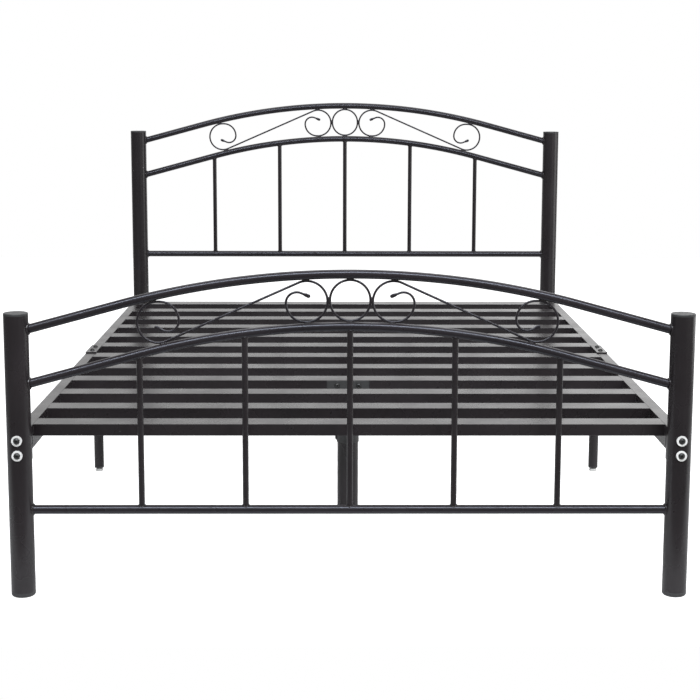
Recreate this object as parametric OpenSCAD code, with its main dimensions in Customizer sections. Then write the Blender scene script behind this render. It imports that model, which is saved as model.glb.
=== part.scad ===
// Metal bed frame: two tube end boards with scrollwork, a slatted deck in two bolted
// halves, two middle legs, one centre leg, and a threaded levelling glide under each leg.
// X runs across the bed, Y from the foot board (-) to the head board (+), Z up.
// The origin is on the floor under the middle of the four posts. Millimetres.

/* [Overall] */
// Distance across the bed between post centres
post_span_x = 1372; // [1300:1:1550]
// Distance along the bed between post centres
post_span_y = 1960; // [1955:1:2100]
// Height of the head posts with their caps
head_post_h = 906; // [860:1:960]
// Height of the foot posts with their caps
foot_post_h = 601; // [590:1:660]
// Height of the slat tops above the floor
deck_top = 356; // [350:1:380]

/* [Tubes] */
// Outside diameter of the posts and of the centre leg
post_d = 50.8; // [45:0.1:56]
// Outside diameter of the arches and of the lower rails
rail_d = 19; // [16:0.1:22]
// Outside diameter of the spindles
spindle_d = 12.7; // [8:0.1:14]
// Outside diameter of the middle legs
mid_leg_d = 25.4; // [22:0.1:27]
// Wall thickness of the posts, legs and side rails
tube_wall = 1.5; // [1:0.1:2]
// Wall thickness of the arches, lower rails, spindles and slats
thin_wall = 1.2; // [0.8:0.1:1.5]

/* [End boards] */
// Height of the head board's top arch at mid width, to the tube's centre
head_arch_h = 990; // [960:1:1010]
// Height of the foot board's top arch at mid width, to the tube's centre
foot_arch_h = 681.5; // [670:0.5:700]
// Distance from the top arch down to the second arch
arch_drop = 109; // [105:0.5:120]
// Bend radius of the top arches
top_arch_radius = 1800; // [1750:5:1850]
// Bend radius of the second arches
second_arch_radius = 1665; // [1640:5:1850]
// Slope of an arch's straight ends
arch_slope = 15.2; // [14.5:0.1:16]
// Height of the head board's lower rail
head_rail_h = 496; // [470:1:520]
// Height of the foot board's lower rail
foot_rail_h = 185; // [160:1:210]
// Distance between spindles
spindle_pitch = 217; // [180:1:220]

/* [Scrollwork] */
// Diameter of the bent wire
wire_d = 5; // [4:0.5:8]
// Distance from mid width to the centre of a scroll's inner spiral
inner_spiral_x = 89; // [84:0.5:95]
// Distance from mid width to the outer spirals' centres on the head board
head_spiral_x = 406; // [370:1:430]
// The same on the left of the foot board
foot_left_spiral_x = 395; // [370:1:430]
// The same on the right of the foot board
foot_right_spiral_x = 385; // [370:1:430]

/* [Deck] */
// Width of a side rail
side_rail_w = 25; // [22:1:28]
// Height of a side rail
side_rail_h = 50; // [48:1:52]
// Distance from the post centres out to the side rails' outer faces
side_rail_out = 6; // [6:0.5:8]
// Width of a slat
slat_w = 56; // [45:1:60]
// Height of a slat
slat_h = 25; // [18:1:28]
// Distance from the foot post centres to the first slat's centre line
slat_first = 76; // [70:1:85]
// Distance between slats
slat_pitch = 154.7; // [150:0.1:158]

/* [Legs and glides] */
// Distance from mid width to the middle legs
mid_leg_x = 672; // [640:1:674]
// Height of a leg's plastic end above the floor
leg_end_z = 30; // [28:1:36]
// Height of the glides' foot pads above the floor while they are screwed right in
glide_lift = 22; // [15:1:25]
// Diameter of a glide's foot pad
pad_d = 22; // [20:1:30]

/* [Hidden] */
$fn = 64;
black = "#2a292d";
seat = 0.1;              // room left at a welded or seated joint
lap = 1;                 // how far one length of a bent bar runs into the next
lap_thin = 0.08;         // and how much thinner it is, so that it stays inside
arc_fn = 720;            // segments in a full turn of an arch
slat_count = 12;
spindle_steps = [-2, -1, 0, 1, 2];
corners = [for (x = [-1, 1]) for (y = [-1, 1]) [x, y]];

post_x = post_span_x / 2;
post_y = post_span_y / 2;
post_r = post_d / 2;

// Plastic caps and feet
cap_h = 5;
cap_round = 2;
post_foot_h = 10;
post_foot_round = 5;
plug_len = 20;
leg_plug_flange = 6;
leg_plug_round = 3;

// Fasteners
bolt_d = 8;
bolt_hole_d = 9;
tapped_d = 8.1;
bolt_len = 60;
short_bolt_len = 16;
head_d = 14;
head_h = 4.4;
hex_socket = 5;
hex_socket_depth = 2.6;
washer_d = 22;
washer_t = 2.1;
washer_wrap = post_r - sqrt(post_r ^ 2 - (washer_d / 2) ^ 2);
post_bolt_drop = 18.5;   // deck top down to the upper post bolt
post_bolt_pitch = 31.5;
end_plate = [40, 8, 70];

// Deck
side_rail_x = post_x + side_rail_out - side_rail_w / 2;
deck_half_w = side_rail_x - side_rail_w / 2;
slat_1_y = slat_first - post_y;
joint_y = slat_1_y + (slat_count / 2 - 0.5) * slat_pitch;
joint_gap = 0.5;         // half the gap between the two halves of a side rail
end_plate_y = post_y - post_r - seat;
post_face_y = post_y + post_r;
joint_plate = [28, 108, 3];
joint_bolt_step = 26;
leg_plate = [36, 108, 7];

// Centre leg, bolted to the fourth slat
bracket_slat = 4;
bracket_w = 103;
bracket_t = 3;
bracket_bolt_step = 26;
sleeve_len = 132;
sleeve_bolt_up = 10;
slide_fit = 0.2;         // room between the sleeve and the leg inside it
centre_leg_y = slat_1_y + (bracket_slat - 1) * slat_pitch;
bracket_z = deck_top - slat_h;
sleeve_d = post_d + 2 * slide_fit + 2 * tube_wall;

// Glides
running_fit = 0.05;
pad_h = 5;
pad_edge_h = 2;
pad_top_d = 19;
journal_d = 10;
journal_len = 4;
collar_af = 13;
collar_h = 2.5;
stem_len = 32;

// Scroll spirals: the later turns are fractions of the first turn's radius
turn_flat = 4;
second_turn = 0.92;
third_turn = 0.53;
tip_slope = 22;
tip_len = 21;
tip_pad = [13, 8, 3.5];

function slat_name(i) = str("slat_", i < 10 ? "0" : "", i);

// Turns everything inside it to the left side when side is -1
module on_side(side) {
    if (side < 0) mirror([1, 0, 0]) children();
    else children();
}

// Turns everything inside it to the foot end when way is -1
module at_end(way) {
    if (way < 0) mirror([0, 1, 0]) children();
    else children();
}

// ---- End boards: everything here is drawn in the board's own plane, Y = 0 ----

// How far a bend's centre line falls from its middle to distance x
function arch_fall(bend_r, x) = bend_r - sqrt(bend_r ^ 2 - x ^ 2);

// Bar along an arch, or a tube when bore is given: one bend, and a straight length on each end,
// turned so that its facets line up with the bend's
module arch_bar(bend_r, d, bore = 0) {
    bend_x = bend_r * sin(arch_slope);
    straight = (post_x - bend_x) / cos(arch_slope);
    translate([0, 0, -bend_r]) rotate([90, 0, 0]) rotate([0, 0, 90 - arch_slope])
        rotate_extrude(angle = 2 * arch_slope, $fn = arc_fn)
            translate([bend_r, 0]) bar_section(d, bore);
    for (side = [-1, 1])
        translate([side * bend_x, 0, -arch_fall(bend_r, bend_x)])
            rotate([0, side * (90 + arch_slope), 0]) rotate(90 + side * 90)
                translate([0, 0, -lap]) linear_extrude(straight + lap)
                    bar_section(d - lap_thin, bore + lap_thin);
}

module bar_section(d, bore) {
    difference() {
        circle(d = d, $fn = 48);
        if (bore > lap_thin) circle(d = bore, $fn = 48);
    }
}

module post_shapes(extra) {
    for (side = [-1, 1]) translate([side * post_x, 0, 0])
        cylinder(r = post_r + extra, h = 1200);
}

module arch(height, bend_r) {
    color(black) difference() {
        translate([0, 0, height]) arch_bar(bend_r, rail_d, rail_d - 2 * thin_wall);
        post_shapes(seat);
    }
}

module lower_rail(height) {
    color(black) difference() {
        translate([-post_x, 0, height]) rotate([0, 90, 0]) difference() {
            cylinder(d = rail_d, h = post_span_x);
            cylinder(d = rail_d - 2 * thin_wall, h = post_span_x);
        }
        post_shapes(seat);
    }
}

module spindle(step, rail_height, arch_height) {
    x = step * spindle_pitch;
    top = arch_height - arch_fall(second_arch_radius, x);
    color(black) difference() {
        translate([x, 0, rail_height]) difference() {
            cylinder(d = spindle_d, h = top - rail_height, $fn = 32);
            cylinder(d = spindle_d - 2 * thin_wall, h = top - rail_height, $fn = 32);
        }
        translate([x - post_r, 0, rail_height]) rotate([0, 90, 0])
            cylinder(d = rail_d + 2 * seat, h = post_d, $fn = 48);
        translate([0, 0, arch_height]) arch_bar(second_arch_radius, rail_d + 2 * seat);
    }
}

// Wire bent round an arc in the board's plane, angles counted from +X towards +Z
module wire_arc(centre, r, from, to, d = wire_d) {
    translate([centre[0], 0, centre[1]]) rotate([90, 0, 0]) rotate([0, 0, from])
        rotate_extrude(angle = to - from, $fn = 96)
            translate([r, 0]) circle(d = d, $fn = 24);
}

// Straight wire from a point, at an angle counted the same way, running on into both its ends
module wire_straight(start, angle, len) {
    translate([start[0], 0, start[1]]) rotate([0, 90 - angle, 0]) translate([0, 0, -lap])
        cylinder(d = wire_d - lap_thin, h = len + 2 * lap, $fn = 24);
}

// Oval ring that fills the height between the two arches and the width between the scrolls
module ring(arch_height) {
    r = inner_spiral_x - spiral_r(inner_spiral_x) - wire_d - seat;
    rise = (arch_drop - rail_d - wire_d) / 2 - seat - r;
    color(black) translate([0, 0, arch_height - arch_drop / 2]) {
        wire_arc([0, rise], r, 0, 180);
        wire_arc([0, -rise], r, 180, 360);
        for (side = [-1, 1]) wire_straight([side * r, -rise], 90, 2 * rise);
    }
}

// Height and radius of a spiral that just touches both arches at distance x from mid width.
// Points midway between the two bends lie on an ellipse with its foci at the bends' centres.
function spiral_z(x) =
    let (long_r = (top_arch_radius + second_arch_radius) / 2,
         focus = (arch_drop + second_arch_radius - top_arch_radius) / 2,
         short_r = sqrt(long_r ^ 2 - focus ^ 2))
    long_r * sqrt(1 - (x / short_r) ^ 2) - long_r - arch_drop / 2;
function spiral_r(x) =
    top_arch_radius - norm([x, spiral_z(x) + top_arch_radius]) - (rail_d + wire_d) / 2 - seat;

// One end of a scroll, from where the straight bar meets it to the flattened tip:
// the first turn, a short flat, a slightly tighter turn, then a small one
module spiral(r, bar_slope) {
    r2 = r * second_turn;
    r3 = r * third_turn;
    turn_2 = [turn_flat, r2 - r];
    turn_3 = turn_2 + [r2 - r3, 0];
    turn_end = 90 + tip_slope;
    lap_angle = lap / r3 * 180 / PI;
    wire_arc([0, 0], r, 90 - bar_slope, 270);
    wire_straight([0, -r], 0, turn_flat);
    wire_arc(turn_2, r2, 270, 360);
    wire_arc(turn_3, r3, -lap_angle, turn_end, wire_d - lap_thin);
    translate([turn_3[0] + r3 * cos(turn_end), 0, turn_3[1] + r3 * sin(turn_end)])
        rotate([0, -90 - tip_slope, 0]) scroll_tip();
}

// Straight end of a scroll along +Z, flattened to a round-ended paddle
module scroll_tip() {
    straight = tip_pad[0] - tip_pad[1] / 2;
    translate([0, 0, -lap])
        cylinder(d = wire_d - 2 * lap_thin, h = tip_len - straight + lap, $fn = 24);
    translate([0, 0, tip_len - tip_pad[1] / 2]) rotate([90, 0, 0])
        linear_extrude(tip_pad[2], center = true) {
            circle(d = tip_pad[1], $fn = 32);
            translate([-tip_pad[1] / 2, -straight]) square([tip_pad[1], straight]);
        }
}

// An S scroll: two opposed spirals, the outer one at distance outer_x, joined by a straight bar
module scroll(side, arch_height, outer_x) {
    inner = [inner_spiral_x, spiral_z(inner_spiral_x)];
    outer = [outer_x, spiral_z(outer_x)];
    r_in = spiral_r(inner_spiral_x);
    r_out = spiral_r(outer_x);
    span = norm(outer - inner);
    slope = atan2(inner[1] - outer[1], outer[0] - inner[0]) + asin((r_in + r_out) / span);
    color(black) on_side(side) translate([0, 0, arch_height]) {
        translate([inner[0], 0, inner[1]]) spiral(r_in, slope);
        translate([outer[0], 0, outer[1]]) rotate([0, 180, 0]) spiral(r_out, slope);
        wire_straight(inner + r_in * [sin(slope), cos(slope)], -slope,
                      sqrt(span ^ 2 - (r_in + r_out) ^ 2));
    }
}

// ---- Posts, caps and feet ----

function post_bolt_z(i) = deck_top - post_bolt_drop - i * post_bolt_pitch;

module post(side, height) {
    color(black) translate([side * post_x, 0, 0]) difference() {
        translate([0, 0, post_foot_h]) cylinder(r = post_r, h = height - cap_h - post_foot_h);
        cylinder(r = post_r - tube_wall, h = height);
        for (i = [0, 1]) translate([0, -post_d, post_bolt_z(i)]) rotate([-90, 0, 0])
            cylinder(d = bolt_hole_d, h = 2 * post_d, $fn = 32);
    }
}

// Flat plastic disc with one rounded edge, and a plug that fills a tube's bore above it
module end_plug(tube_d, flange_h, rounding) {
    rotate_extrude() {
        translate([0, rounding]) square([tube_d / 2, flange_h - rounding]);
        square([tube_d / 2 - rounding, flange_h]);
        translate([tube_d / 2 - rounding, rounding]) intersection() {
            circle(r = rounding, $fn = 48);
            translate([0, -rounding]) square(2 * rounding);
        }
        translate([0, flange_h]) square([tube_d / 2 - tube_wall - seat, plug_len]);
    }
}

module post_caps() {
    color(black) for (corner = corners)
        translate([corner[0] * post_x, corner[1] * post_y,
                   corner[1] > 0 ? head_post_h : foot_post_h])
            mirror([0, 0, 1]) end_plug(post_d, cap_h, cap_round);
}

module post_feet() {
    color(black) for (corner = corners)
        translate([corner[0] * post_x, corner[1] * post_y, 0])
            end_plug(post_d, post_foot_h, post_foot_round);
}

// ---- Deck ----

// Box tube with its long side along Y, centred on X and Z
module box_tube(w, len, h, wall) {
    difference() {
        translate([-w / 2, 0, -h / 2]) cube([w, len, h]);
        translate([-w / 2 + wall, -1, -h / 2 + wall])
            cube([w - 2 * wall, len + 2, h - 2 * wall]);
    }
}

// Half of a side rail, with the tapped plate that the post bolts pull against
module side_rail(side, way) {
    start = way * joint_y + joint_gap;
    plate_back = end_plate_y - end_plate[1];
    bolt_y = way * joint_y + joint_bolt_step;
    color(black) on_side(side) at_end(way) difference() {
        union() {
            translate([side_rail_x, start, deck_top - side_rail_h / 2])
                box_tube(side_rail_w, plate_back - start, side_rail_h, tube_wall);
            translate([post_x - end_plate[0] / 2, plate_back, deck_top - end_plate[2]])
                cube(end_plate);
        }
        for (i = [0, 1]) translate([post_x, plate_back - 1, post_bolt_z(i)])
            rotate([-90, 0, 0]) cylinder(d = tapped_d, h = end_plate[1] + 2, $fn = 32);
        translate([side_rail_x, bolt_y, deck_top - side_rail_h - 1])
            cylinder(d = bolt_hole_d, h = side_rail_h + 2, $fn = 32);
    }
}

module slat(i) {
    half = deck_half_w - seat;
    y = slat_1_y + (i - 1) * slat_pitch;
    color(black) difference() {
        translate([-half, y, deck_top - slat_h / 2]) rotate([0, 0, -90])
            box_tube(slat_w, 2 * half, slat_h, thin_wall);
        if (i == bracket_slat)
            for (side = [-1, 1])
                translate([side * bracket_bolt_step, y - slat_w / 2 - 1, deck_top - slat_h / 2])
                    rotate([-90, 0, 0]) cylinder(d = tapped_d, h = thin_wall + 2, $fn = 32);
    }
}

module joint_plates() {
    color(black) for (side = [-1, 1]) on_side(side)
        translate([side_rail_x, joint_y, deck_top]) difference() {
            translate([-joint_plate[0] / 2, -joint_plate[1] / 2, 0]) cube(joint_plate);
            for (way = [-1, 1]) translate([0, way * joint_bolt_step, -1])
                cylinder(d = bolt_hole_d, h = joint_plate[2] + 2, $fn = 32);
        }
}

// ---- Legs ----

module mid_leg(side) {
    plate_z = deck_top - side_rail_h - leg_plate[2];
    tube_z = leg_end_z + leg_plug_flange;
    plate_x = side_rail_x + side_rail_w / 2 - leg_plate[0] / 2;
    color(black) on_side(side) translate([0, joint_y, 0]) difference() {
        union() {
            translate([mid_leg_x, 0, tube_z]) cylinder(d = mid_leg_d, h = plate_z - tube_z + 1);
            translate([plate_x - leg_plate[0] / 2, -leg_plate[1] / 2, plate_z])
                cube(leg_plate);
        }
        translate([mid_leg_x, 0, tube_z - 1])
            cylinder(d = mid_leg_d - 2 * tube_wall, h = plate_z - tube_z + 1);
        for (way = [-1, 1]) translate([side_rail_x, way * joint_bolt_step, plate_z - 1])
            cylinder(d = tapped_d, h = leg_plate[2] + 2, $fn = 32);
    }
}

// Plastic end of a leg, tapped through its middle for a glide's stem
module leg_plug(tube_d) {
    color(black) difference() {
        translate([0, 0, leg_end_z]) end_plug(tube_d, leg_plug_flange, leg_plug_round);
        translate([0, 0, leg_end_z - 1])
            cylinder(d = bolt_d + 2 * running_fit, h = leg_plug_flange + plug_len + 2, $fn = 48);
    }
}

module mid_leg_plugs() {
    for (side = [-1, 1]) translate([side * mid_leg_x, joint_y, 0]) leg_plug(mid_leg_d);
}

module centre_leg_plug() {
    translate([0, centre_leg_y, 0]) leg_plug(post_d);
}

module centre_leg() {
    tube_z = leg_end_z + leg_plug_flange;
    sleeve_top = bracket_z - bracket_t;
    color(black) translate([0, centre_leg_y, 0]) difference() {
        translate([0, 0, tube_z]) cylinder(r = post_r, h = sleeve_top - seat - tube_z);
        translate([0, 0, tube_z - 1]) cylinder(r = post_r - tube_wall, h = sleeve_top);
        sleeve_bolt_hole(tapped_d);
    }
}

module sleeve_bolt_hole(d) {
    translate([-sleeve_d, 0, bracket_z - sleeve_len + sleeve_bolt_up]) rotate([0, 90, 0])
        cylinder(d = d, h = sleeve_d, $fn = 32);
}

// Angle plate bolted to the slat's front face, with a sleeve that the leg slides into
module centre_leg_bracket() {
    front = -slat_w / 2 - bracket_t;
    flange_h = slat_h + bracket_t - 1;
    sleeve_top = bracket_z - bracket_t;
    sleeve_z = bracket_z - sleeve_len;
    color(black) translate([0, centre_leg_y, 0]) difference() {
        union() {
            translate([-bracket_w / 2, front, sleeve_top])
                cube([bracket_w, slat_w + bracket_t, bracket_t]);
            translate([-bracket_w / 2, front, sleeve_top])
                cube([bracket_w, bracket_t, flange_h]);
            translate([0, 0, sleeve_z]) cylinder(d = sleeve_d, h = sleeve_len - 1);
        }
        translate([0, 0, sleeve_z - 1])
            cylinder(r = post_r + slide_fit, h = sleeve_top - sleeve_z + 1);
        for (side = [-1, 1])
            translate([side * bracket_bolt_step, front - 1, deck_top - slat_h / 2])
                rotate([-90, 0, 0]) cylinder(d = bolt_hole_d, h = bracket_t + 2, $fn = 32);
        sleeve_bolt_hole(bolt_hole_d);
    }
}

// ---- Glides: a hexagon-collared stem that screws into the leg and turns in a foot pad ----

function glide_place(place) =
    place == "left" ? [-mid_leg_x, joint_y, glide_lift] :
    place == "right" ? [mid_leg_x, joint_y, glide_lift] : [0, centre_leg_y, glide_lift];

module glide_stem(place) {
    color("silver") translate(glide_place(place)) {
        translate([0, 0, pad_h - journal_len]) cylinder(d = journal_d, h = journal_len + 1);
        translate([0, 0, pad_h + seat])
            cylinder(d = collar_af / cos(30), h = collar_h, $fn = 6);
        translate([0, 0, pad_h + collar_h]) cylinder(d = bolt_d, h = stem_len, $fn = 48);
    }
}

module glide_pad(place) {
    color("white") translate(glide_place(place)) difference() {
        union() {
            cylinder(d = pad_d, h = pad_edge_h);
            translate([0, 0, pad_edge_h])
                cylinder(d1 = pad_d, d2 = pad_top_d, h = pad_h - pad_edge_h);
        }
        translate([0, 0, pad_h - journal_len - seat])
            cylinder(d = journal_d + 2 * running_fit, h = journal_len + 1);
    }
}

// ---- Fasteners: each is drawn pointing along -Z from the underside of its head ----

module button_bolt(len) {
    dome_r = (head_h ^ 2 + (head_d / 2) ^ 2) / (2 * head_h);
    translate([0, 0, -len]) cylinder(d = bolt_d, h = len + 1, $fn = 32);
    difference() {
        intersection() {
            translate([0, 0, head_h - dome_r]) sphere(r = dome_r);
            cylinder(d = head_d + 1, h = head_h + 1, $fn = 48);
        }
        translate([0, 0, head_h - hex_socket_depth])
            cylinder(d = hex_socket / cos(30), h = head_h, $fn = 6);
    }
}

// Places its children at each post bolt, on the post's outer side, pointing into the bed
module at_post_bolts(gap) {
    for (corner = corners) for (i = [0, 1])
        at_end(corner[1]) translate([corner[0] * post_x, post_face_y + gap, post_bolt_z(i)])
            rotate([-90, 0, 0]) children();
}

module frame_bolts() {
    color(black) {
        at_post_bolts(washer_t) button_bolt(bolt_len);
        for (side = [-1, 1]) for (way = [-1, 1])
            translate([side * side_rail_x, joint_y + way * joint_bolt_step,
                       deck_top + joint_plate[2]])
                button_bolt(bolt_len);
    }
}

module short_bolts() {
    color(black) {
        for (side = [-1, 1])
            translate([side * bracket_bolt_step, centre_leg_y - slat_w / 2 - bracket_t,
                       deck_top - slat_h / 2])
                rotate([90, 0, 0]) button_bolt(short_bolt_len);
        translate([-sleeve_d / 2, centre_leg_y, bracket_z - sleeve_len + sleeve_bolt_up])
            rotate([0, -90, 0]) button_bolt(short_bolt_len);
    }
}

// Round spacers with one face hollowed to sit on the post
module saddle_washers() {
    color("white") difference() {
        at_post_bolts(-washer_wrap) difference() {
            cylinder(d = washer_d, h = washer_wrap + washer_t, $fn = 48);
            translate([0, 0, -1])
                cylinder(d = bolt_hole_d, h = washer_wrap + washer_t + 2, $fn = 32);
        }
        for (corner = corners) translate([corner[0] * post_x, corner[1] * post_y, 0])
            cylinder(r = post_r + seat, h = deck_top);
    }
}

// ---- Assembly ----

module board(name, way, post_h, arch_h, rail_h, spiral_x) {
    translate([0, way * post_y, 0]) {
        post(-1, post_h);
        post(1, post_h);
        arch(arch_h, top_arch_radius);
        arch(arch_h - arch_drop, second_arch_radius);
        lower_rail(rail_h);
        for (i = [1:len(spindle_steps)])
            spindle(spindle_steps[i - 1], rail_h, arch_h - arch_drop);
        ring(arch_h);
        scroll(-1, arch_h, spiral_x[0]);
        scroll(1, arch_h, spiral_x[1]);
    }
}

board("head", 1, head_post_h, head_arch_h, head_rail_h, [head_spiral_x, head_spiral_x]);
board("foot", -1, foot_post_h, foot_arch_h, foot_rail_h,
      [foot_left_spiral_x, foot_right_spiral_x]);
post_caps();
post_feet();
side_rail(-1, -1);  // side_rail_foot_left
side_rail(1, -1);  // side_rail_foot_right
side_rail(-1, 1);  // side_rail_head_left
side_rail(1, 1);  // side_rail_head_right
for (i = [1:slat_count]) slat(i);
joint_plates();
mid_leg(-1);  // mid_leg_left
mid_leg(1);  // mid_leg_right
mid_leg_plugs();
for (place = ["left", "right", "centre"]) {
    glide_stem(place);
    glide_pad(place);
}
centre_leg();
centre_leg_bracket();
centre_leg_plug();
frame_bolts();
short_bolts();
saddle_washers();
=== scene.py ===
"""Looks of the metal bed frame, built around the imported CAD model. Metres, Z up."""

import math

import bmesh
import bpy
from mathutils import Matrix, Vector


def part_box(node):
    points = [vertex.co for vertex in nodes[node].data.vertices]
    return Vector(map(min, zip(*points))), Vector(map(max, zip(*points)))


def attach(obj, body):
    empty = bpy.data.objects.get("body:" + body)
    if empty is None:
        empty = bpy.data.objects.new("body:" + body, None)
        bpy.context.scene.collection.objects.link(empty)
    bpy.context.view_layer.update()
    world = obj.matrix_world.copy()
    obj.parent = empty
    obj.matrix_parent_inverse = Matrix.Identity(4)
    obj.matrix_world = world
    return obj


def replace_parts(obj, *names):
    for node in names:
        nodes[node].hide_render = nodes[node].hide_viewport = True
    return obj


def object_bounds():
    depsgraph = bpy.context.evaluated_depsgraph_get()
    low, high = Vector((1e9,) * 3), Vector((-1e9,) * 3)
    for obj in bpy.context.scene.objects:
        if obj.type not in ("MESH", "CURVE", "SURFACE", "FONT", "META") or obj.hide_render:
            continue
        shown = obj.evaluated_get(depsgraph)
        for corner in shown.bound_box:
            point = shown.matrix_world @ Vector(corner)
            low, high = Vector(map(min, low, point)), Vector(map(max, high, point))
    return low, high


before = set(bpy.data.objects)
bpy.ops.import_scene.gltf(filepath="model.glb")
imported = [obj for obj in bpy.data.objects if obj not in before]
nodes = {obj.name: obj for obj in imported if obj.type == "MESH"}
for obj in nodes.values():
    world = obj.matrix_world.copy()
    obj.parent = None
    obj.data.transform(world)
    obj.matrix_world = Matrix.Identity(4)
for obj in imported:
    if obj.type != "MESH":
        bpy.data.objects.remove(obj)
cad_low, cad_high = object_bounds()

# Sizes that the CAD source also has, in metres
TOP_ARCH_RADIUS = 1.800
SECOND_ARCH_RADIUS = 1.665
ARCH_DROP = 0.109
ARCH_SLOPE = math.radians(15.2)
POST_R = 0.0254
RAIL_R = 0.0095
SPINDLE_R = 0.00635
WIRE_R = 0.0025
SIDE_RAIL_W = 0.025
MID_LEG_R = 0.0127
SLEEVE_R = 0.0268
INNER_SPIRAL_X = 0.089
OUTER_SPIRAL_X = {
    ("head", -1): 0.406,
    ("head", 1): 0.406,
    ("foot", -1): 0.395,
    ("foot", 1): 0.385,
}
SEAT = 0.0001
TURN_FLAT = 0.004
SECOND_TURN = 0.92
THIRD_TURN = 0.53
TIP_SLOPE = math.radians(22)
TIP_LEN = 0.021
TIP_HALF_WIDTH = 0.004
TIP_HALF_THICK = 0.00175
JOURNAL_R = 0.005
COLLAR_H = 0.0025
COLLAR_HALF_FLATS = 0.0065
THREAD_PITCH = 0.00125
SLATS = 12
SPINDLES = 5
SIDES = (-1, 1)
BOARDS = ("head", "foot")
SIDE_NAMES = {-1: "left", 1: "right"}
UP = Vector((0, 0, 1))
GLIDES = ("left", "right", "centre")


def middle(node):
    """Middle of a CAD node's box."""
    low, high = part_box(node)
    return (low + high) / 2


# ---- Materials ----


def add_node(tree, kind, inputs=None, **settings):
    """A shader node with its settings and inputs; an input may be a value or an output socket."""
    made = tree.nodes.new(kind)
    for key, value in settings.items():
        setattr(made, key, value)
    for key, value in (inputs or {}).items():
        if isinstance(value, bpy.types.NodeSocket):
            tree.links.new(value, made.inputs[key])
        else:
            made.inputs[key].default_value = value
    return made


def noise(tree, place, scale, detail=2.0, stretch=(1, 1, 1)):
    """Noise value over the object's own coordinates."""
    spread = add_node(tree, "ShaderNodeMapping", {"Vector": place, "Scale": stretch})
    return add_node(
        tree,
        "ShaderNodeTexNoise",
        {"Vector": spread.outputs[0], "Scale": scale, "Detail": detail},
    ).outputs["Fac"]


def remap(tree, value, low, high, to_low=0.0, to_high=1.0):
    """Value moved from one range to another, and held inside it."""
    return add_node(
        tree,
        "ShaderNodeMapRange",
        {"Value": value, "From Min": low, "From Max": high, "To Min": to_low, "To Max": to_high},
    ).outputs[0]


def times(tree, a, b):
    return add_node(tree, "ShaderNodeMath", {0: a, 1: b}, operation="MULTIPLY").outputs[0]


def blend_colours(tree, factor, a, b):
    mixed = add_node(tree, "ShaderNodeMix", data_type="RGBA")
    for socket, value in ((0, factor), (6, a), (7, b)):
        if isinstance(value, bpy.types.NodeSocket):
            tree.links.new(value, mixed.inputs[socket])
        else:
            mixed.inputs[socket].default_value = value
    return mixed.outputs[2]


def grey(level, tint=(1.0, 1.0, 1.0)):
    return (level * tint[0], level * tint[1], level * tint[2], 1.0)


def new_material(name):
    material = bpy.data.materials.new(name)
    material.use_nodes = True
    tree = material.node_tree
    tree.nodes.clear()
    output = add_node(tree, "ShaderNodeOutputMaterial")
    shader = add_node(tree, "ShaderNodeBsdfPrincipled")
    tree.links.new(shader.outputs[0], output.inputs[0])
    place = add_node(tree, "ShaderNodeTexCoord").outputs["Object"]
    return material, tree, shader, place


def plug_in(tree, shader, **values):
    for key, value in values.items():
        socket = shader.inputs[key.replace("_", " ")]
        if isinstance(value, bpy.types.NodeSocket):
            tree.links.new(value, socket)
        else:
            socket.default_value = value


PAINT_TINT = (1.15, 0.94, 1.03)
NEUTRAL = (1.0, 1.0, 1.0)
PAINT_LEVEL = 0.0118
PAINT_ROUGH = 0.27
PAINT_IOR = 1.48
BARE_PRIMER = (0.32, (1.0, 0.97, 0.93))
PATCHES_PER_M = 5.0
PEEL_PER_M = 500.0
DENTS_PER_M = 38.0


def paint_rubs(tree, place, grain):
    """Where the coat has been rubbed: thin streaks along the grain, in some patches only."""
    streaks = remap(tree, noise(tree, place, 1.0, 3.0, grain), 0.68, 0.76)
    return times(tree, streaks, remap(tree, noise(tree, place, 9.0), 0.56, 0.66))


def paint_chips(tree, place):
    """Where a speck of primer shows: the middles of a few cells."""
    cells = add_node(tree, "ShaderNodeTexVoronoi", {"Vector": place, "Scale": 60.0})
    specks = remap(tree, cells.outputs["Distance"], 0.10, 0.06)
    return times(tree, specks, remap(tree, noise(tree, place, 6.0), 0.665, 0.68))


def paint_colour(tree, place, rubs, level, tint):
    """Black in slightly uneven patches, greyer in the rubs and pale in the chips."""
    patches = remap(tree, noise(tree, place, PATCHES_PER_M, 3.0), 0.35, 0.7)
    coat = blend_colours(tree, patches, grey(level, tint), grey(level * 1.55, tint))
    rubbed = blend_colours(tree, times(tree, rubs, 0.35), coat, grey(0.05))
    return blend_colours(tree, paint_chips(tree, place), rubbed, grey(*BARE_PRIMER))


def paint_gloss(tree, place, rubs, rough):
    """Roughness that drifts over the surface and rises in the rubs."""
    drift = remap(tree, noise(tree, place, 14.0, 3.0), 0.3, 0.7, rough - 0.03, rough + 0.05)
    dulled = times(tree, rubs, 0.08)
    return add_node(tree, "ShaderNodeMath", {0: drift, 1: dulled}, operation="ADD").outputs[0]


def bump(tree, height, strength, distance, under=None):
    """Normals from a height, over those of another bump if one is given."""
    inputs = {"Height": height, "Strength": strength, "Distance": distance}
    if under is not None:
        inputs["Normal"] = under
    return add_node(tree, "ShaderNodeBump", inputs).outputs[0]


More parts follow.
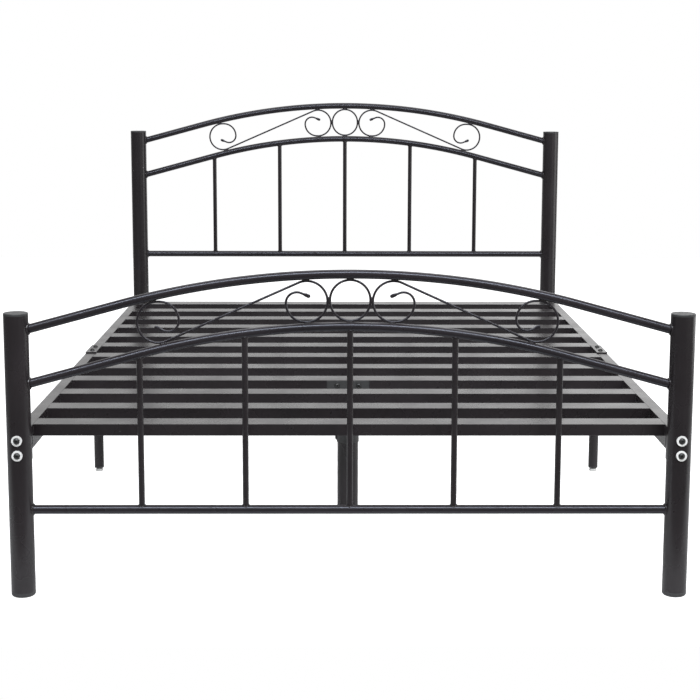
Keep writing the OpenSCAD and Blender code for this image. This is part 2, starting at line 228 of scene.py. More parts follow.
def powder_coat(
    name, grain, level=PAINT_LEVEL, rough=PAINT_ROUGH, tint=PAINT_TINT, highlight_tint=NEUTRAL
):
    """Satin black powder coat: orange peel, uneven gloss, faint rubs along the grain and a few
    chips. The grain is the noise scale in each direction, lowest along the piece. A highlight tint
    other than neutral is painted light: the colour of the light put into the highlights."""
    material, tree, shader, place = new_material(name)
    rubs = paint_rubs(tree, place, grain)
    peel = bump(tree, noise(tree, place, PEEL_PER_M, 2.0), 0.03, 0.0003)
    dents = bump(tree, noise(tree, place, DENTS_PER_M, 1.0), 0.035, 0.0006, peel)
    plug_in(
        tree,
        shader,
        Base_Color=paint_colour(tree, place, rubs, level, tint),
        Roughness=paint_gloss(tree, place, rubs, rough),
        Normal=dents,
    )
    shader.inputs["IOR"].default_value = PAINT_IOR
    # A tint other than neutral is a painted tint of the light in the highlights
    shader.inputs["Specular Tint"].default_value = (*highlight_tint, 1.0)
    return material


def moulded(name, level, tint, rough, grain_scale, smudge, painted_shade_below=None):
    """Moulded plastic: fine spark texture, flow marks, dirt in patches, and painted shade below a
    height if one is given.
    """
    material, tree, shader, place = new_material(name)
    flow = noise(tree, place, 40.0, 3.0, (1.0, 1.0, 3.0))
    colour = blend_colours(
        tree, remap(tree, flow, 0.3, 0.7), grey(level, tint), grey(level * 0.86, tint)
    )
    dirt_and_rim_shade = times(tree, remap(tree, noise(tree, place, 90.0, 4.0), 0.56, 0.72), smudge)
    if painted_shade_below is not None:
        # Painted shade: below the given height the colour darkens, standing for the shade along a
        # pad's lower rim
        height = add_node(tree, "ShaderNodeSeparateXYZ", {0: place}).outputs[2]
        painted_rim_shade = times(tree, remap(tree, height, painted_shade_below, painted_shade_below - 0.0006), 0.9)
        dirt_and_rim_shade = add_node(tree, "ShaderNodeMath", {0: dirt_and_rim_shade, 1: painted_rim_shade}, operation="MAXIMUM").outputs[0]
    # Real dirt and the painted shade both blend towards the same dark grey
    colour = blend_colours(tree, dirt_and_rim_shade, colour, grey(level * 0.3 + 0.02, (1.0, 0.97, 0.93)))
    gloss = remap(tree, noise(tree, place, 120.0, 3.0), 0.3, 0.7, rough - 0.06, rough + 0.08)
    spark = bump(tree, noise(tree, place, grain_scale, 2.0), 0.2, 0.0002)
    plug_in(tree, shader, Base_Color=colour, Roughness=gloss, Normal=spark)
    return material


def plated(name, level, rough, metallic=1.0):
    """Plated or blackened steel: fine turning marks and cloudy patches."""
    material, tree, shader, place = new_material(name)
    cloud = noise(tree, place, 180.0, 4.0)
    colour = blend_colours(
        tree,
        remap(tree, cloud, 0.3, 0.7),
        grey(level, (0.97, 0.98, 1.02)),
        grey(level * 0.72, (1.03, 1.0, 0.9)),
    )
    gloss = remap(tree, noise(tree, place, 400.0, 3.0), 0.3, 0.7, rough - 0.08, rough + 0.1)
    turning = bump(tree, noise(tree, place, 30.0, 2.0, (1.0, 1.0, 160.0)), 0.25, 0.0001)
    plug_in(tree, shader, Base_Color=colour, Roughness=gloss, Normal=turning)
    shader.inputs["Metallic"].default_value = metallic
    return material


# Noise scales that draw the grain out along one direction
ALONG_X = (5.0, 700.0, 700.0)
ALONG_Y = (700.0, 5.0, 700.0)
ALONG_Z = (700.0, 700.0, 5.0)
ALL_WAYS = (300.0, 300.0, 300.0)
# Cool tint of the tubes' highlights: painted light, the overhead light's colour put into the paint
PAINTED_COOL_HIGHLIGHT = (0.84, 0.88, 1.0)
WARM_WHITE = (1.0, 0.995, 0.97)
# Height above a pad's underside below which its white is darkened: painted shade of its lower rim
RIM_SHADE_H = 0.0023

paint_x = powder_coat("powder_coat_along_x", ALONG_X)
paint_y = powder_coat("powder_coat_along_y", ALONG_Y)
paint_z = powder_coat("powder_coat_along_z", ALONG_Z)
# The tubes' highlights carry a painted cool tint of the light
tube_paint = powder_coat("powder_coat_on_tubes_painted_cool_highlight", ALONG_X, highlight_tint=PAINTED_COOL_HIGHLIGHT)
weld_paint = powder_coat("powder_coat_on_welds", ALL_WAYS, 0.0112)
bracket_paint = powder_coat("powder_coat_on_bracket", ALONG_X, 0.030, 0.38, NEUTRAL)
black_plastic = moulded("black_plastic", 0.035, (1.0, 1.0, 1.02), 0.48, 1400.0, 0.2)
white_plastic = moulded("white_washer_plastic", 0.86, WARM_WHITE, 0.38, 900.0, 0.1)
# Top of the painted shade along the pads' lower rims
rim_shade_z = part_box("glide_pad_left")[0].z + RIM_SHADE_H
white_nylon = moulded("white_nylon", 0.88, WARM_WHITE, 0.5, 1100.0, 0.1, rim_shade_z)
zinc = plated("zinc_plated_steel", 0.62, 0.32)
black_oxide = plated("black_oxide_steel", 0.05, 0.36, 0.6)


def material_for(node):
    """The finish of a CAD node, with its wear running along the piece."""
    if "post_caps" in node or "post_feet" in node or "plug" in node:
        return black_plastic
    if "washers" in node:
        return white_plastic
    if "bolts" in node:
        return black_oxide
    if "pad" in node:
        return white_nylon
    if "stem" in node:
        return zinc
    if "bracket" in node:
        return bracket_paint
    if "post" in node or "spindle" in node or "leg" in node:
        return paint_z
    if "lower_rail" in node:
        return tube_paint
    if "side_rail" in node or "joint_plates" in node:
        return paint_y
    return paint_x


# Width of the rounded edge that each sharp-edged kind of CAD node gets
EDGE_ROUNDING = {
    "side_rail": 0.0009,
    "slat": 0.0007,
    "joint_plates": 0.0005,
    "mid_leg_left": 0.0006,
    "mid_leg_right": 0.0006,
    "bracket": 0.0009,
    "bolts": 0.0003,
    "washers": 0.0004,
    "pad": 0.0006,
}
SHARP = math.radians(38)
MERGE_WITHIN = 1e-5


def dress_cad_node(name, node):
    """Gives a CAD node its material and rounds its sharp edges."""
    node.data.materials.clear()
    node.data.materials.append(material_for(name))
    rounding = next((w for key, w in EDGE_ROUNDING.items() if key in name), None)
    if rounding is None:
        return
    weld = node.modifiers.new("weld", "WELD")
    weld.merge_threshold = MERGE_WITHIN
    bevel = node.modifiers.new("edges", "BEVEL")
    bevel.width = rounding
    bevel.segments = 2
    bevel.limit_method = "ANGLE"
    bevel.angle_limit = SHARP
    bevel.harden_normals = True
    node.modifiers.new("flat_faces", "WEIGHTED_NORMAL").keep_sharp = True


# ---- Mesh building ----


def finish_piece(name, mesh, material, body="frame"):
    """Links a mesh as a smooth piece that rides on a body."""
    piece = bpy.data.objects.new(name, mesh)
    bpy.context.scene.collection.objects.link(piece)
    mesh.materials.append(material)
    mesh.shade_smooth()
    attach(piece, body)
    return piece


def mesh_from(name, bm):
    bmesh.ops.recalc_face_normals(bm, faces=bm.faces)
    mesh = bpy.data.meshes.new(name)
    bm.to_mesh(mesh)
    bm.free()
    return mesh


def skin_rings(bm, rings, closed=False):
    """Joins rings of points into a skin; an open one gets its two ends filled."""
    loops = [[bm.verts.new(p) for p in ring] for ring in rings]
    count = len(loops[0])
    pairs = list(zip(loops, loops[1:]))
    if closed:
        pairs.append((loops[-1], loops[0]))
    for a, b in pairs:
        for i in range(count):
            j = (i + 1) % count
            bm.faces.new((a[i], a[j], b[j], b[i]))
    if not closed:
        bm.faces.new(loops[0])
        bm.faces.new(loops[-1])


def tangents(path, closed):
    """Unit direction of the path at each of its points."""
    last = len(path) - 1
    found = []
    for i, _ in enumerate(path):
        before = path[i - 1] if i > 0 or closed else path[i]
        after = path[(i + 1) % len(path)] if i < last or closed else path[i]
        found.append((after - before).normalized())
    return found


def tube_rings(path, sides, half_width, half_thick=None, across=None, closed=False):
    """Rings of an oval tube along a path. half_width and half_thick are functions of the point's
    number, and across is the direction in which half_thick is measured, or one for each point."""
    half_thick = half_thick or half_width
    rings = []
    for i, (point, along) in enumerate(zip(path, tangents(path, closed))):
        thick_way = across[i] if isinstance(across, list) else across
        thick_way = (thick_way - along * thick_way.dot(along)).normalized()
        wide_way = along.cross(thick_way)
        ring = []
        for k in range(sides):
            angle = 2 * math.pi * k / sides
            ring.append(
                point
                + wide_way * (half_width(i) * math.cos(angle))
                + thick_way * (half_thick(i) * math.sin(angle))
            )
        rings.append(ring)
    return rings


def level_circle(centre, z, sides, radius):
    """Points round a vertical axis at height z. radius is a function of the angle."""
    points = []
    for k in range(sides):
        angle = 2 * math.pi * k / sides
        r = radius(angle)
        points.append(
            Vector((centre.x + r * math.cos(angle), centre.y + r * math.sin(angle), z))
        )
    return points


# ---- Arches ----


def arch_fall(radius, x):
    """How far an arch's centre line is below its middle at distance x."""
    bend_x = radius * math.sin(ARCH_SLOPE)
    x = abs(x)
    if x < bend_x:
        return radius - math.sqrt(radius**2 - x**2)
    return radius * (1 - math.cos(ARCH_SLOPE)) + (x - bend_x) * math.tan(ARCH_SLOPE)


ARCH_STEPS = 150
ARCH_SIDES = 32
# How far an arch's end sinks into the wall of its post
SUNK = 0.0008
# Where the rings of an arch stop short of its post, before the end that is cut to the post
CLEAR_OF_POST = 0.001


def build_arch(name, radius, y, apex_z, post_x):
    """One bent tube from post to post, its ends shaped to the posts."""
    reach = post_x - POST_R * 0.5
    path = []
    for i in range(ARCH_STEPS + 1):
        x = reach * (2 * i / ARCH_STEPS - 1)
        path.append(Vector((x, y, apex_z - arch_fall(radius, x))))
    rings = tube_rings(path, ARCH_SIDES, lambda i: RAIL_R, across=Vector((0, 1, 0)))
    for side, index in zip(SIDES, (0, -1)):
        slope = Vector((1, 0, -side * math.tan(ARCH_SLOPE)))
        for k, point in enumerate(rings[index]):
            meet_x = post_x - math.sqrt(POST_R**2 - (point.y - y) ** 2) + SUNK
            rings[index][k] = point + slope * (side * meet_x - point.x)
    inner = [
        ring
        for ring in rings[1:-1]
        if max(abs(p.x) for p in ring) < post_x - POST_R - CLEAR_OF_POST
    ]
    bm = bmesh.new()
    skin_rings(bm, [rings[0], *inner, rings[-1]])
    return finish_piece(name, mesh_from(name, bm), tube_paint)


# ---- Ring and scrolls, as paths in a board's plane: x across, z from the top arch's middle ----


def spiral_centre(x):
    """Middle of a spiral that touches both arches: it is on an ellipse between the two bends."""
    long_r = (TOP_ARCH_RADIUS + SECOND_ARCH_RADIUS) / 2
    focus = (ARCH_DROP + SECOND_ARCH_RADIUS - TOP_ARCH_RADIUS) / 2
    short_r = math.sqrt(long_r**2 - focus**2)
    z = long_r * math.sqrt(1 - (x / short_r) ** 2) - long_r - ARCH_DROP / 2
    return Vector((x, z))


def spiral_radius(centre):
    """Radius of the spiral's first turn, its wire just clear of the top arch."""
    to_bend = (centre - Vector((0, -TOP_ARCH_RADIUS))).length
    return TOP_ARCH_RADIUS - to_bend - RAIL_R - WIRE_R - SEAT


def arc(centre, radius, start, stop, step=math.radians(4)):
    """Points along an arc in the board's plane, angles in radians from +x towards +z."""
    count = max(2, round(abs(stop - start) / step))
    points = []
    for i in range(count + 1):
        angle = start + (stop - start) * i / count
        points.append(centre + radius * Vector((math.cos(angle), math.sin(angle))))
    return points


TIP_STEPS = 14
BAR_STEPS = 24


def spiral_path(radius, bar_slope):
    """A spiral's centre line from its bar to its tip, about its own middle."""
    r2 = radius * SECOND_TURN
    r3 = radius * THIRD_TURN
    turn_2 = Vector((TURN_FLAT, r2 - radius))
    turn_3 = turn_2 + Vector((r2 - r3, 0))
    turn_end = math.pi / 2 + TIP_SLOPE
    path = arc(Vector((0, 0)), radius, math.pi / 2 - bar_slope, 3 * math.pi / 2)
    path += arc(turn_2, r2, 3 * math.pi / 2, 2 * math.pi)
    path += arc(turn_3, r3, 0, turn_end)[1:]
    tip_way = Vector((-math.cos(TIP_SLOPE), -math.sin(TIP_SLOPE)))
    start = path[-1]
    path += [start + tip_way * (TIP_LEN * i / TIP_STEPS) for i in range(1, TIP_STEPS + 1)]
    return path


# Distances from a scroll's tip up to which it is hammered flat, and where it is round again
FLAT_UP_TO = 0.009
ROUND_FROM = 0.016
# Share of the flat's thickness that is left at the very end
END_THICK = 0.45


def hammered(distance):
    """Half width and half thickness of the wire at a distance from its tip."""
    if distance > ROUND_FROM:
        return WIRE_R, WIRE_R
    flat = min(1.0, (ROUND_FROM - distance) / (ROUND_FROM - FLAT_UP_TO))
    flat = flat * flat * (3 - 2 * flat)
    width = WIRE_R + (TIP_HALF_WIDTH - WIRE_R) * flat
    thick = WIRE_R + (TIP_HALF_THICK - WIRE_R) * flat
    if distance < TIP_HALF_WIDTH:
        share = math.sqrt(max(0.01, 1 - (1 - distance / TIP_HALF_WIDTH) ** 2))
        width *= share
        thick *= END_THICK + (1 - END_THICK) * share
    return width, thick


def lengths_from_end(path):
    """Length along the path from each of its points to its end."""
    found = [0.0]
    for a, b in zip(reversed(path[:-1]), reversed(path[1:])):
        found.append(found[-1] + (b - a).length)
    return list(reversed(found))


WIRE_SIDES = 20


def scroll_path(outer_x):
    """Centre line of a right-hand scroll, tip to tip."""
    inner = spiral_centre(INNER_SPIRAL_X)
    outer = spiral_centre(outer_x)
    r_in = spiral_radius(inner)
    r_out = spiral_radius(outer)
    span = (outer - inner).length
    slope = math.atan2(inner.y - outer.y, outer.x - inner.x) + math.asin((r_in + r_out) / span)
    inner_end = [inner + p for p in spiral_path(r_in, slope)]
    outer_end = [outer - p for p in spiral_path(r_out, slope)]
    bar = [inner_end[0].lerp(outer_end[0], i / BAR_STEPS) for i in range(1, BAR_STEPS)]
    return list(reversed(inner_end)) + bar + outer_end


def build_scroll(name, side, outer_x, y, apex_z):
    """A scroll of round wire with both tips hammered flat."""
    flat_path = scroll_path(outer_x)
    to_start = lengths_from_end(list(reversed(flat_path)))
    to_end = lengths_from_end(flat_path)
    tip_distance = [min(a, b) for a, b in zip(reversed(to_start), to_end)]
    path = [Vector((side * p.x, y, apex_z + p.y)) for p in flat_path]
    rings = tube_rings(
        path,
        WIRE_SIDES,
        lambda i: hammered(tip_distance[i])[0],
        lambda i: hammered(tip_distance[i])[1],
        across=Vector((0, 1, 0)),
    )
    bm = bmesh.new()
    skin_rings(bm, rings)
    return finish_piece(name, mesh_from(name, bm), tube_paint)


def ring_radius():
    """Radius of the oval ring's two ends, which fills the gap between the inner spirals."""
    inner = spiral_centre(INNER_SPIRAL_X)
    return INNER_SPIRAL_X - spiral_radius(inner) - 2 * WIRE_R - SEAT


def build_ring(name, y, apex_z):
    """Oval of bent wire between the inner spirals."""
    radius = ring_radius()
    rise = (ARCH_DROP / 2 - RAIL_R - WIRE_R) - SEAT - radius
    flat_path = arc(Vector((0, rise)), radius, 0, math.pi)
    flat_path += arc(Vector((0, -rise)), radius, math.pi, 2 * math.pi)
    path = [Vector((p.x, y, apex_z - ARCH_DROP / 2 + p.y)) for p in flat_path]
    rings = tube_rings(path, WIRE_SIDES, lambda i: WIRE_R, across=Vector((0, 1, 0)), closed=True)
    bm = bmesh.new()
    skin_rings(bm, rings, closed=True)
    return finish_piece(name, mesh_from(name, bm), tube_paint)


# ---- Welds ----


RIPPLE_EVERY = 3.0
RIPPLE_DEPTH = 0.10
HAND_WOBBLE = 0.05


def ripple(i):
    """Swelling of a weld bead from one puddle to the next, never quite regular."""
    puddle = RIPPLE_DEPTH * math.cos(2 * math.pi * i / RIPPLE_EVERY)
    return 1 + puddle + HAND_WOBBLE * math.sin(i * 1.7)


BEAD_SIDES = 8
# Reference directions that no bead runs along exactly
NEARLY_UP = Vector((0.13, 0.21, 0.97)).normalized()
NEARLY_ACROSS = Vector((0.94, 0.17, -0.11)).normalized()


def bead_along(bm, path, radius, closed=False):
    """A weld bead: a rippled rope of metal along a path, thinning at its ends if it has any."""
    last = len(path) - 1

    def size(i):
        taper = 1.0
        if not closed:
            taper = math.sqrt(max(0.06, 1 - (2 * i / last - 1) ** 4))
        return radius * ripple(i) * taper

    if closed:
        ways = [closed_bead_way(path, i) for i in range(len(path))]
    else:
        ways = [
            NEARLY_ACROSS if abs(t.dot(NEARLY_UP)) > 0.7 else NEARLY_UP
            for t in tangents(path, closed)
        ]
    skin_rings(bm, tube_rings(path, BEAD_SIDES, size, across=ways, closed=closed), closed)


def closed_bead_way(path, i):
    """Outward direction from a closed bead's middle, which turns steadily along it."""
    centre = sum(path, Vector()) / len(path)
    return (path[i] - centre).normalized()


BEAD_STEPS = 42


def saddle_bead(bm, start, way, tube_r, host_point, host_axis, host_r, bead_r):
    """Bead all round a tube where it meets the side of another. start is on the tube's axis
    outside the host, and way points into the host."""
    way = way.normalized()
    u = way.cross(Vector((0.31, 0.87, 0.38))).normalized()
    v = way.cross(u)
    path = []
    for k in range(BEAD_STEPS):
        angle = 2 * math.pi * k / BEAD_STEPS
        p = start + (u * math.cos(angle) + v * math.sin(angle)) * tube_r
        gap = (p - host_point) - host_axis * (p - host_point).dot(host_axis)
        flat_way = way - host_axis * way.dot(host_axis)
        a = flat_way.length_squared
        b = 2 * gap.dot(flat_way)
        c = gap.length_squared - host_r**2
        root = b * b - 4 * a * c
        reach = (-b - math.sqrt(max(root, 0.0))) / (2 * a)
        path.append(p + way * reach)
    bead_along(bm, path, bead_r, closed=True)


TACK_STEPS = 12


def tack_bead(bm, centre, way, length, radius):
    """Short bead centred on a point, along a direction."""
    run = way.normalized() * length
    path = [centre + run * (i / TACK_STEPS - 0.5) for i in range(TACK_STEPS + 1)]
    bead_along(bm, path, radius)


def arch_way(radius, x):
    """Direction of an arch's centre line at distance x, towards +x."""
    h = 0.001
    fall = arch_fall(radius, x + h) - arch_fall(radius, x - h)
    return Vector((2 * h, 0, -fall)).normalized()


TUBE_BEAD_R = 0.0030
SPINDLE_BEAD_R = 0.0016
TACK_R = 0.0021


ARCH_TACK_LEN = 0.015
WIRE_TACK_LEN = 0.014
# How far in front of and behind a wire's middle its tack welds are
TACK_OFFSET = 0.0016


def board_welds(board, y, apex_z, post_x):
    """Every weld of an end board."""
    bm = bmesh.new()
    rail_z = middle(f"{board}_lower_rail").z
    post_welds(bm, y, apex_z, post_x, rail_z)
    spindle_welds(bm, board, y, apex_z, rail_z)
    contact_tacks(bm, board, y, apex_z)
    name = f"{board}_board_welds"
    return finish_piece(name, mesh_from(name, bm), weld_paint)


def post_welds(bm, y, apex_z, post_x, rail_z):
    """Beads round the ends of the arches and of the lower rail, on the posts."""
    arches = ((TOP_ARCH_RADIUS, apex_z), (SECOND_ARCH_RADIUS, apex_z - ARCH_DROP))
    for side in SIDES:
        post = Vector((side * post_x, y, 0))
        start_x = side * (post_x - 3 * POST_R)
        tubes = []
        for radius, top_z in arches:
            start = Vector((start_x, y, top_z - arch_fall(radius, start_x)))
            tubes.append((start, arch_way(radius, start_x) * side))
        tubes.append((Vector((start_x, y, rail_z)), Vector((side, 0, 0))))
        for start, way in tubes:
            saddle_bead(bm, start, way, RAIL_R, post, UP, POST_R, TUBE_BEAD_R)


def spindle_welds(bm, board, y, apex_z, rail_z):
    """Beads round both ends of every spindle."""
    for i in range(1, SPINDLES + 1):
        x = middle(f"{board}_spindle_{i}").x
        along = arch_way(SECOND_ARCH_RADIUS, x)
        arch_z = apex_z - ARCH_DROP - arch_fall(SECOND_ARCH_RADIUS, x)
        mid = Vector((x, y, (rail_z + arch_z) / 2))
        ends = ((UP, arch_z, along), (-UP, rail_z, Vector((1, 0, 0))))
        for way, z, host_axis in ends:
            host = Vector((x, y, z))
            saddle_bead(bm, mid, way, SPINDLE_R, host, host_axis, RAIL_R, SPINDLE_BEAD_R)


def tack_pair(bm, at, way, length):
    """Tack welds in front of and behind a point where a wire touches."""
    for front in SIDES:
        tack_bead(bm, at + Vector((0, front * TACK_OFFSET, 0)), way, length, TACK_R)


def contact_tacks(bm, board, y, apex_z):
    """Tack welds where the ring and the scrolls touch the arches and each other."""
    centres = [Vector((0, -ARCH_DROP / 2))]
    for side in SIDES:
        for x in (INNER_SPIRAL_X, OUTER_SPIRAL_X[board, side]):
            centres.append(Vector((side * x, spiral_centre(x).y)))
    for centre in centres:
        for radius, bend_z, toward in (
            (TOP_ARCH_RADIUS, -TOP_ARCH_RADIUS, 1),
            (SECOND_ARCH_RADIUS, -ARCH_DROP - SECOND_ARCH_RADIUS, -1),
        ):
            bend = Vector((0, bend_z))
            out = (centre - bend).normalized()
            touch = bend + out * (radius - toward * RAIL_R)
            at = Vector((touch.x, y, apex_z + touch.y))
            tack_pair(bm, at, Vector((out.y, 0, -out.x)), ARCH_TACK_LEN)
    gap_x = ring_radius() + WIRE_R
    for side in SIDES:
        at = Vector((side * gap_x, y, apex_z - ARCH_DROP / 2))
        tack_pair(bm, at, UP, WIRE_TACK_LEN)


# Lengths and radii of the fillets on the deck
SLAT_CORNER_LEN = 0.020
SLAT_CORNER_R = 0.0017
SLAT_UNDER_LEN = 0.050
SLAT_UNDER_R = 0.0016
PLATE_BEAD_LEN = 0.044
PLATE_BEAD_R = 0.0019
# Where an end plate's fillets are: back from the end of the side rail, and below its top
PLATE_BACK = 0.008
PLATE_BEAD_DROP = 0.026


def slat_welds(bm):
    """Fillets at the corners and under the ends of the slats."""
    for i in range(1, SLATS + 1):
        low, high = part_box(f"slat_{i:02d}")
        mid = (low + high) / 2
        for x in (low.x, high.x):
            for y in (low.y, high.y):
                tack_bead(bm, Vector((x, y, mid.z)), UP, SLAT_CORNER_LEN, SLAT_CORNER_R)
            under = Vector((x, mid.y, low.z))
            tack_bead(bm, under, Vector((0, 1, 0)), SLAT_UNDER_LEN, SLAT_UNDER_R)


def plate_welds(bm):
    """Upright fillets between the side rails and their end plates."""
    slat_low, slat_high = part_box("slat_01")
    for half, way in (("foot", -1), ("head", 1)):
        for side in SIDES:
            low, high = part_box(f"side_rail_{half}_{SIDE_NAMES[side]}")
            plate_y = (high.y if way > 0 else low.y) - way * PLATE_BACK
            inner_x = slat_high.x if side > 0 else slat_low.x
            for x in (inner_x, inner_x + side * SIDE_RAIL_W):
                at = Vector((x, plate_y, high.z - PLATE_BEAD_DROP))
                tack_bead(bm, at, UP, PLATE_BEAD_LEN, PLATE_BEAD_R)


def deck_welds():
    """Fillets that hold the slats and end plates to the side rails."""
    bm = bmesh.new()
    slat_welds(bm)
    plate_welds(bm)
    return finish_piece("deck_welds", mesh_from("deck_welds", bm), weld_paint)


LEG_BEAD_R = 0.0018
# Heights of the beads: above the underside of the side rails, and below the bracket's top
LEG_BEAD_RISE = 0.013
SLEEVE_BEAD_DROP = 0.0242


def leg_welds():
    """Beads round the tops of the middle legs and of the centre leg's sleeve."""
    bm = bmesh.new()
    leg_bead_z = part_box("side_rail_foot_left")[0].z + LEG_BEAD_RISE
    spots = [(middle(f"glide_stem_{name}"), leg_bead_z, MID_LEG_R) for name in SIDE_NAMES.values()]
    sleeve_bead_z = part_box("centre_leg_bracket")[1].z - SLEEVE_BEAD_DROP
    spots.append((middle("centre_leg"), sleeve_bead_z, SLEEVE_R))
    for centre, z, tube_r in spots:
        path = level_circle(centre, z, BEAD_STEPS, lambda angle: tube_r)
        bead_along(bm, path, LEG_BEAD_R, closed=True)
    return finish_piece("leg_welds", mesh_from("leg_welds", bm), weld_paint)


# ---- Levelling glides ----


STEM_SIDES = 36
COLLAR_STEPS = 12
STEPS_PER_TURN = 8
# How steeply the collar's corners are turned off
CORNER_SLOPE = 1.7
THREAD_CORE_R = 0.0034
THREAD_DEPTH = 0.00056
# Share of the thread's flank after which its crest is flat
CREST = 1.3
# Length over which the thread runs out at the top
LEAD_IN = 0.0015
# Gap in height between two rings that form a step
STEP_GAP = 1e-5


def stem_radius(angle, z, levels):
    """Radius of a glide's stem: journal, hexagon collar with its corners turned, then thread."""
    collar_low, collar_high, top = levels
    if z < collar_low:
        return JOURNAL_R
    if z <= collar_high:
        sector = (angle + math.pi / 6) % (math.pi / 3) - math.pi / 6
        hexagon = COLLAR_HALF_FLATS / math.cos(sector)
        edge = min(z - collar_low, collar_high - z)
        return min(hexagon, COLLAR_HALF_FLATS + edge * CORNER_SLOPE)
    phase = ((z - collar_high) / THREAD_PITCH - angle / (2 * math.pi)) % 1.0
    tooth = 1 - abs(2 * phase - 1)
    lead = min(1.0, (top - z) / LEAD_IN)
    return THREAD_CORE_R + THREAD_DEPTH * min(1.0, tooth * CREST) * max(0.0, lead)


def evenly(start, stop, steps):
    """Values from start to stop in equal steps."""
    return [start + (stop - start) * i / steps for i in range(steps + 1)]


def build_stem(place):
    """A glide's stem with its thread cut, turning with the CAD stem that it stands for."""
    node = f"glide_stem_{place}"
    low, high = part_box(node)
    centre = middle(node)
    pad_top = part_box(f"glide_pad_{place}")[1].z
    collar_low = pad_top + SEAT
    collar_high = pad_top + COLLAR_H
    levels = (collar_low, collar_high, high.z)
    turns = (high.z - collar_high) / THREAD_PITCH
    heights = [low.z, collar_low - STEP_GAP]
    heights += evenly(collar_low, collar_high, COLLAR_STEPS)
    heights += evenly(collar_high + STEP_GAP, high.z, round(turns * STEPS_PER_TURN))
    rings = [
        level_circle(centre, z, STEM_SIDES, lambda angle: stem_radius(angle, z, levels))
        for z in heights
    ]
    bm = bmesh.new()
    skin_rings(bm, rings)
    name = f"threaded_stem_{place}"
    piece = finish_piece(name, mesh_from(name, bm), zinc, f"stem_{place}")
    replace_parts(piece, node)


PAD_SIDES = 64
PAD_BORE_R = 0.00505
PAD_SOLE_T = 0.001
PAD_TOP_INSET = 0.0015
# The sole's rounded edge: how far in from the rim and up from the floor face its points are
PAD_SOLE_EDGE = (
    (0.0030, 0.0000),
    (0.0009, 0.0001),
    (0.0002, 0.0005),
    (0.0000, 0.0011),
    (0.0000, 0.0020),
)
# The top's rounded edges: how far in from the top's rim, or out from the bore, and down
PAD_TOP_EDGE = ((-0.0003, 0.0009), (0.0000, 0.0004), (0.0007, 0.0000))
PAD_BORE_EDGE = ((0.0003, 0.0000), (0.0000, 0.0003))


def pad_profile(rim_r, low_z, high_z):
    """Outline of a glide's pad as (radius, z) pairs, from under its rim to the floor of its bore."""
    top_r = rim_r - PAD_TOP_INSET
    profile = [(rim_r - inset, low_z + rise) for inset, rise in PAD_SOLE_EDGE]
    profile += [(top_r - inset, high_z - drop) for inset, drop in PAD_TOP_EDGE]
    profile += [(PAD_BORE_R + outset, high_z - drop) for outset, drop in PAD_BORE_EDGE]
    profile.append((PAD_BORE_R, low_z + PAD_SOLE_T))
    return profile


def build_pad(place):
    """A glide's nylon pad with rounded rims, hollow for the end of its stem."""
    node = f"glide_pad_{place}"
    low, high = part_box(node)
    centre = middle(node)
    rings = [
        level_circle(centre, z, PAD_SIDES, lambda angle: radius)
        for radius, z in pad_profile((high.x - low.x) / 2, low.z, high.z)
    ]
    bm = bmesh.new()
    skin_rings(bm, rings)
    name = f"moulded_pad_{place}"
    piece = finish_piece(name, mesh_from(name, bm), white_nylon, f"pad_{place}")
    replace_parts(piece, node)


# ---- Camera, light and floor ----


def build_camera():
    """The photograph's viewpoint: in front of the foot board, a little above it."""
    location = Vector((-0.02933, -4.00113, 1.07376))
    pitch, yaw, roll = (math.radians(a) for a in (8.244, 0.547, 0.138))
    forward = Vector(
        (math.sin(yaw) * math.cos(pitch), math.cos(yaw) * math.cos(pitch), -math.sin(pitch))
    )
    level = Vector((math.cos(yaw), -math.sin(yaw), 0))
    upright = level.cross(forward)
    right = level * math.cos(roll) + upright * math.sin(roll)
    up = upright * math.cos(roll) - level * math.sin(roll)
    camera = bpy.data.objects.new("camera", bpy.data.cameras.new("camera"))
    bpy.context.scene.collection.objects.link(camera)
    turn = Matrix((right, up, -forward)).transposed().to_4x4()
    camera.matrix_world = Matrix.Translation(location) @ turn
    camera.data.sensor_width = 36.0
    camera.data.lens = 76.59
    camera.data.shift_y = -0.0770
    camera.data.clip_end = 100.0
    bpy.context.scene.camera = camera


def add_softbox(name, location, target, size, power, colour=(1.0, 1.0, 1.0), mirrored=True):
    """A rectangular light; one that isn't mirrored leaves no highlight of its own in the gloss."""
    light = bpy.data.lights.new(name, "AREA")
    light.shape = "RECTANGLE"
    light.size, light.size_y = size
    light.energy = power
    light.color = colour
    holder = bpy.data.objects.new(name, light)
    bpy.context.scene.collection.objects.link(holder)
    holder.location = location
    look = Vector(target) - Vector(location)
    holder.rotation_mode = "QUATERNION"
    holder.rotation_quaternion = look.to_track_quat("-Z", "Y")
    holder.visible_camera = False
    holder.visible_glossy = mirrored


def build_world():
    """White backdrop for the eye; for the light, bright beyond the bed, more so to the right, and
    dim behind the camera."""
    world = bpy.data.worlds.new("studio")
    bpy.context.scene.world = world
    world.use_nodes = True
    tree = world.node_tree
    tree.nodes.clear()
    way = add_node(tree, "ShaderNodeTexCoord").outputs["Generated"]
    parts = add_node(tree, "ShaderNodeSeparateXYZ", {0: way})
    beyond = remap(tree, parts.outputs[1], 0.55, 0.93)
    rightward = remap(tree, parts.outputs[0], -0.22, 0.25)
    backdrop = blend_colours(tree, rightward, grey(0.93), grey(1.55))
    lighting = blend_colours(tree, beyond, grey(0.21), backdrop)
    seen = add_node(tree, "ShaderNodeLightPath").outputs["Is Camera Ray"]
    colour = blend_colours(tree, seen, lighting, grey(1.0))
    background = add_node(tree, "ShaderNodeBackground", {"Color": colour})
    output = add_node(tree, "ShaderNodeOutputWorld")
    tree.links.new(background.outputs[0], output.inputs[0])


# Corners of the floor; it ends close in front of the bed, so that the black tubes there stay dark
FLOOR_LOW = (-2.2, -1.27)
FLOOR_HIGH = (2.2, 5.0)
FLOOR_GAP = 0.0005


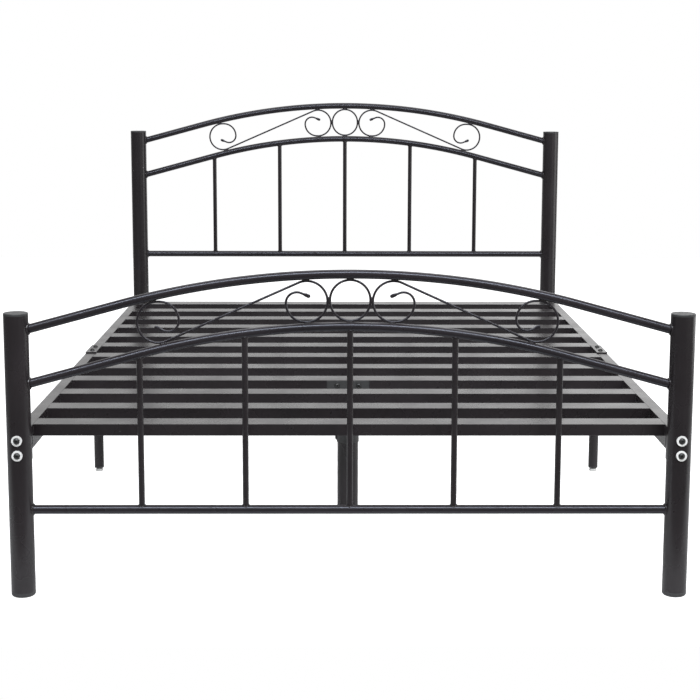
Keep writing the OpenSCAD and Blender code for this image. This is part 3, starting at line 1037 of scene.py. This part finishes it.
def build_floor():
    """Pale seamless studio floor, seen as white by the camera."""
    material, tree, shader, place = new_material("studio_floor")
    paper = blend_colours(
        tree, remap(tree, noise(tree, place, 1.5), 0.3, 0.7), grey(0.62), grey(0.58)
    )
    plug_in(tree, shader, Base_Color=paper, Roughness=0.85)
    shader.inputs["Emission Color"].default_value = grey(1.0)
    seen = add_node(tree, "ShaderNodeLightPath").outputs["Is Camera Ray"]
    glow = remap(tree, seen, 0.0, 1.0, 0.12, 1.0)
    plug_in(tree, shader, Emission_Strength=glow)
    bm = bmesh.new()
    (x0, y0), (x1, y1) = FLOOR_LOW, FLOOR_HIGH
    corners = [(x0, y0), (x1, y0), (x1, y1), (x0, y1)]
    bm.faces.new([bm.verts.new((x, y, 0)) for x, y in corners])
    floor = bpy.data.objects.new("studio_floor", mesh_from("studio_floor", bm))
    floor.data.materials.append(material)
    floor.location.z = cad_low.z - FLOOR_GAP
    bpy.context.scene.collection.objects.link(floor)


def build_lights():
    """A soft key, two overheads and two banks on the right."""
    front = (0.0, -0.9, 0.4)
    add_softbox("key", (2.3, -4.4, 2.4), (0.0, -0.6, 0.4), (0.9, 1.4), 60.0, mirrored=False)
    add_softbox("overhead_front", (0.0, -2.6, 3.0), front, (4.4, 0.6), 150.0, (0.90, 0.94, 1.0))
    add_softbox("overhead_back", (0.0, 0.9, 3.6), (0.0, 0.6, 0.3), (3.5, 2.0), 45.0)
    add_softbox("right_side", (3.4, 0.2, 0.9), (0.6, -0.9, 0.5), (2.2, 1.8), 26.0)
    add_softbox("right_bank", (3.2, -3.4, 1.4), front, (3.0, 2.4), 15.0, (1.0, 0.97, 0.97))


# ---- Putting it together ----


def build_board(board):
    """The arches, ring, scrolls and welds of an end board, over the CAD's posts and rails."""
    y = middle(f"{board}_top_arch").y
    apex_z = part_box(f"{board}_top_arch")[1].z - RAIL_R
    post_x = middle(f"{board}_post_right").x
    top = build_arch(f"{board}_top_arch_tube", TOP_ARCH_RADIUS, y, apex_z, post_x)
    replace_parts(top, f"{board}_top_arch")
    second_z = apex_z - ARCH_DROP
    second = build_arch(f"{board}_second_arch_tube", SECOND_ARCH_RADIUS, y, second_z, post_x)
    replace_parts(second, f"{board}_second_arch")
    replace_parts(build_ring(f"{board}_oval_ring", y, apex_z), f"{board}_ring")
    for side, side_name in SIDE_NAMES.items():
        name = f"{board}_hammered_scroll_{side_name}"
        scroll = build_scroll(name, side, OUTER_SPIRAL_X[board, side], y, apex_z)
        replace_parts(scroll, f"{board}_scroll_{side_name}")
    board_welds(board, y, apex_z, post_x)


for cad_name, cad_object in nodes.items():
    dress_cad_node(cad_name, cad_object)
for board_name in BOARDS:
    build_board(board_name)
deck_welds()
leg_welds()
for glide in GLIDES:
    build_stem(glide)
    build_pad(glide)

build_camera()
build_world()
build_floor()
build_lights()
bpy.context.scene.view_settings.view_transform = "Standard"
